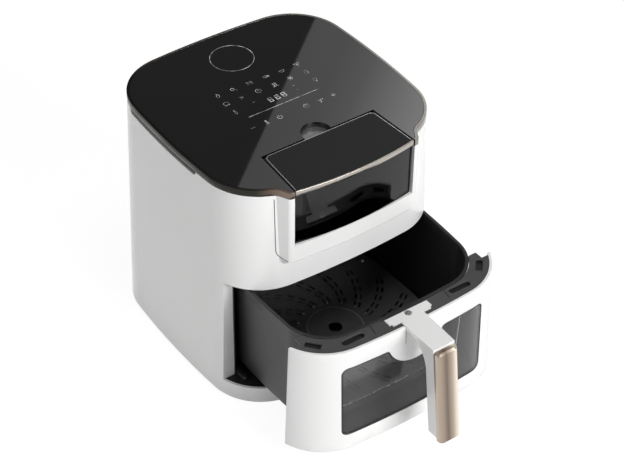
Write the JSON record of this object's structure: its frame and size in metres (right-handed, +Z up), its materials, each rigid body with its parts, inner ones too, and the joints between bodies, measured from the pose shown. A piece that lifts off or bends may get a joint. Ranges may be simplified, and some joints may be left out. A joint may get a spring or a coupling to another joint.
{
  "type": "air fryer",
  "caption": "Countertop steam air fryer with a pull-out windowed basket drawer, lift-out crisper plate, glass control top and a lift-out water tank with a hinged lid.",
  "frame": {"origin": "on the ground, under the middle of the machine's bounding box with the drawer drawn out as at rest", "axes": "+Z up; the front with the drawer and handle faces -Y; +X is to the right of a person who faces the rear, seen from the front"},
  "size_m": [0.3014, 0.496, 0.311],
  "materials": {
    "white_shell": "glossy white",
    "white_drawer": "glossy white",
    "white_handle": "glossy white",
    "cover_bronze": "champagne-bronze, satin",
    "trim_metal": "bronze, satin",
    "top_glass": "black, polished",
    "window_glass": "smoked, polished",
    "tank_smoked": "smoked clear plastic",
    "basket_coat": "dark grey non-stick",
    "flange_grey": "dark grey, satin",
    "lid_grey": "dark grey, matte",
    "dark_plastic": "black, matte",
    "well_grey": "silver-grey, satin",
    "steel_bright": "brushed",
    "steel_galvanised": "galvanised sheet",
    "silicone_black": "matte silicone",
    "foot_rubber": "matte rubber",
    "board_green": "circuit board",
    "coil_steel": "heat-darkened steel",
    "motor_black": "satin",
    "hose_clear": "translucent silicone",
    "cast_grey": "cast"
  },
  "bodies": {
    "housing": {"base_plate": "dark_plastic", "base_screws": "steel_bright", "bay_floor": "dark_plastic", "board_screws": "steel_bright", "cord_gland": "dark_plastic", "display_board": "board_green", "divider_plate": "steel_galvanised", "fan_guard": "steel_bright", "feed_hose": "hose_clear", "feet": "foot_rubber", "finger_well": "dark_plastic", "floor_runners": "dark_plastic", "heat_dome": "steel_galvanised", "heater_coil": "coil_steel", "inlet_meshes": "dark_plastic", "jamb_left": "white_shell", "jamb_right": "white_shell", "liner": "dark_plastic", "motor": "motor_black", "motor_bracket": "steel_galvanised", "outer_shell": "white_shell", "power_board": "board_green", "rear_vent": "dark_plastic", "side_rails": "steel_bright", "steam_generator": "cast_grey", "tank_bay": "dark_plastic", "tank_dock": "dark_plastic", "temperature_probe": "steel_bright", "thermal_cutout": "cast_grey", "top_deck": "dark_plastic", "top_glass": "top_glass", "trim_ring": "trim_metal", "water_pipe": "hose_clear", "water_pump": "dark_plastic", "well_disc": "well_grey"},
    "rotor": {"fan_shaft": "steel_bright", "hot_air_fan": "steel_galvanised", "cooling_fan": "dark_plastic"},
    "drawer": {"drawer_front": "white_drawer", "window_gasket": "silicone_black", "drawer_window": "window_glass", "window_tunnel": "dark_plastic", "basket": "basket_coat", "basket_glass": "window_glass", "flange_cover": "flange_grey", "handle_bracket": "steel_bright", "handle_arm": "white_handle", "handle_cover": "cover_bronze", "handle_screw": "steel_bright"},
    "crisper": {"crisper_plate": "basket_coat", "crisper_feet": "silicone_black", "crisper_rivets": "steel_bright", "crisper_bumpers": "silicone_black"},
    "tank": {"tank_body": "tank_smoked", "hinge_pins": "steel_bright", "tank_valve": "dark_plastic"},
    "lid": {"tank_lid": "lid_grey", "lid_trim": "trim_metal", "lid_seal": "silicone_black"}
  },
  "joints": [
    {"name": "drawer_slide", "type": "slide", "parent": "housing", "child": "drawer", "axis": [0, -1, 0], "range_m": [-0.1238, 0.13]},
    {"name": "crisper_lift", "type": "slide", "parent": "drawer", "child": "crisper", "axis": [0, 0, 1], "range_m": [0, 0.11]},
    {"name": "tank_lift", "type": "slide", "parent": "housing", "child": "tank", "axis": [0, 0, 1], "range_m": [0, 0.1]},
    {"name": "tank_lid_hinge", "type": "hinge", "parent": "tank", "child": "lid", "pos_m": [0, 0.00717, 0.3078], "axis": [-1, 0, 0], "range_deg": [0, 90]},
    {"name": "fan_spin", "type": "hinge", "parent": "housing", "child": "rotor", "pos_m": [0, 0.09437, 0.251], "axis": [0, 0, 1], "continuous": true}
  ]
}
